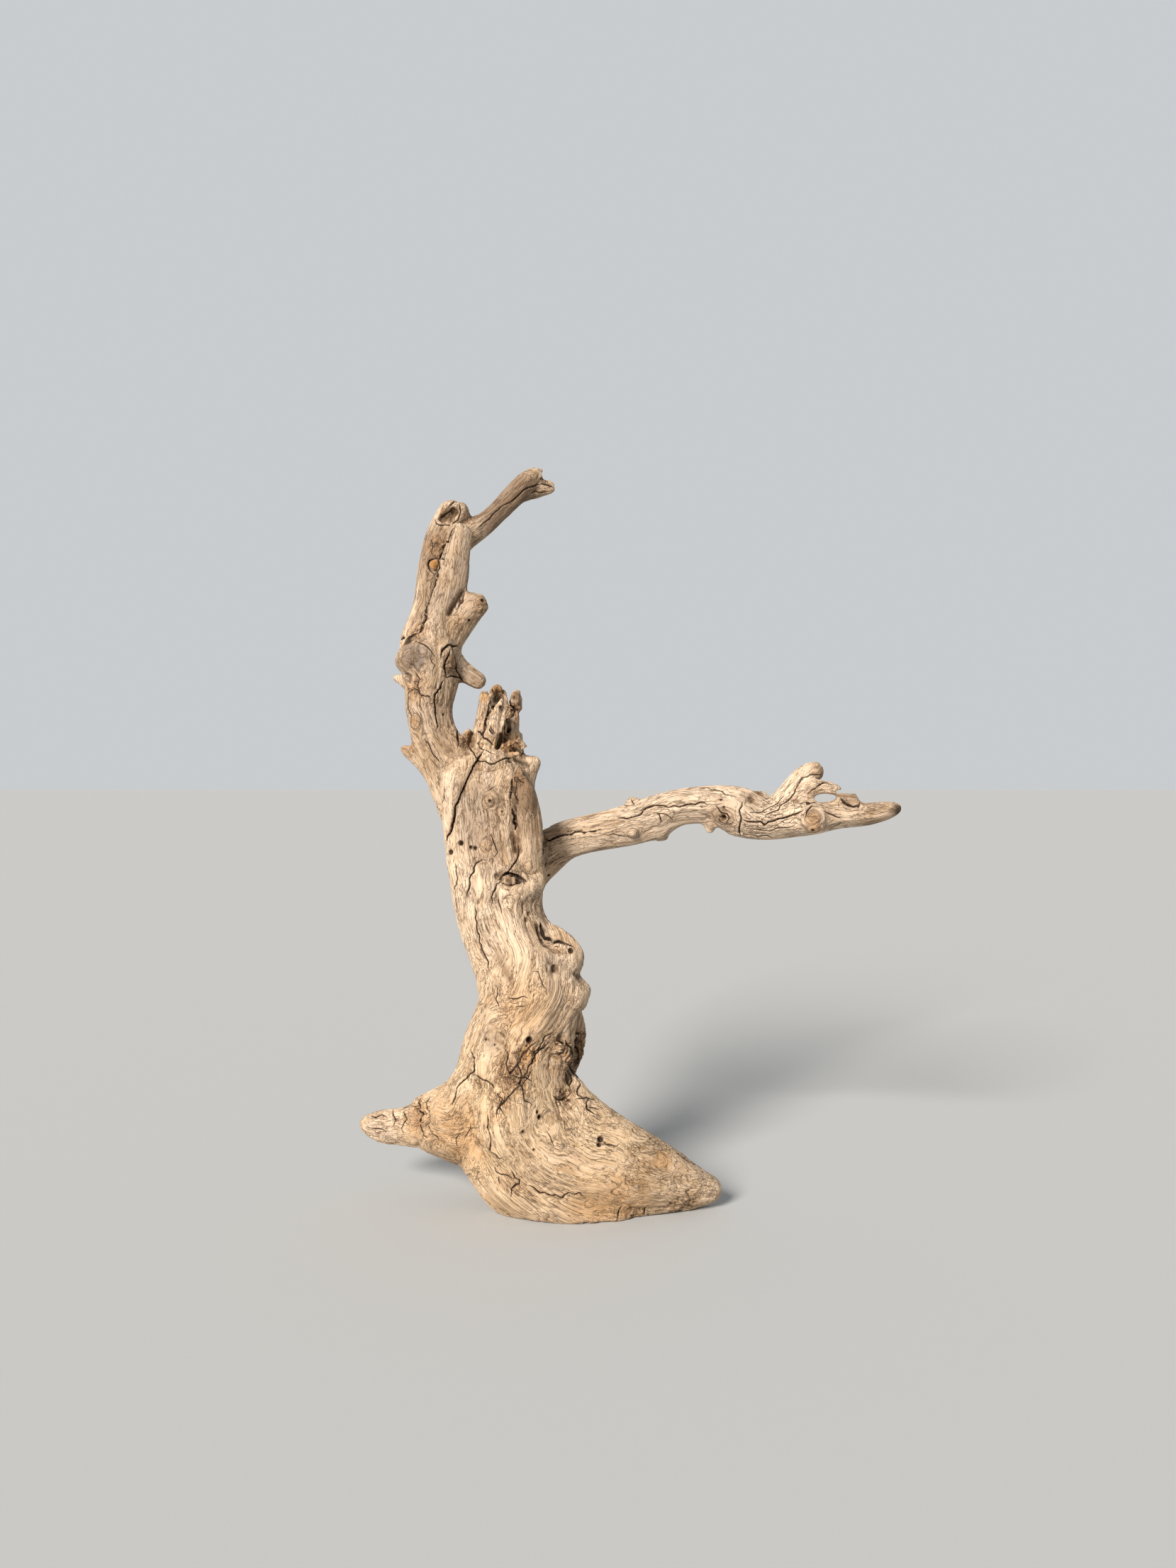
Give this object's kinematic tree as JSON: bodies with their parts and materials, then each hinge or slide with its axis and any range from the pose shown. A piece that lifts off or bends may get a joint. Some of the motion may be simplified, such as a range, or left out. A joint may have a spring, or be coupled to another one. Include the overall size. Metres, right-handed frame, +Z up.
{
  "type": "piece of driftwood",
  "caption": "weathered driftwood that stands upright on a worn swollen root, with a broken crown, a tall forked limb and a long arm reaching to one side",
  "frame": {"origin": "on the flat worn foot, where the piece rests, under the root swelling", "axes": "+Z up, +X towards the tip of the arm, -Y towards the viewer of the front"},
  "size_m": [0.3932, 0.1683, 0.557],
  "materials": {
    "weathered_wood": "bare wood, sun-bleached and dry, matt, with open grain"
  },
  "bodies": {
    "root": {"driftwood": "weathered_wood"}
  },
  "joints": []
}
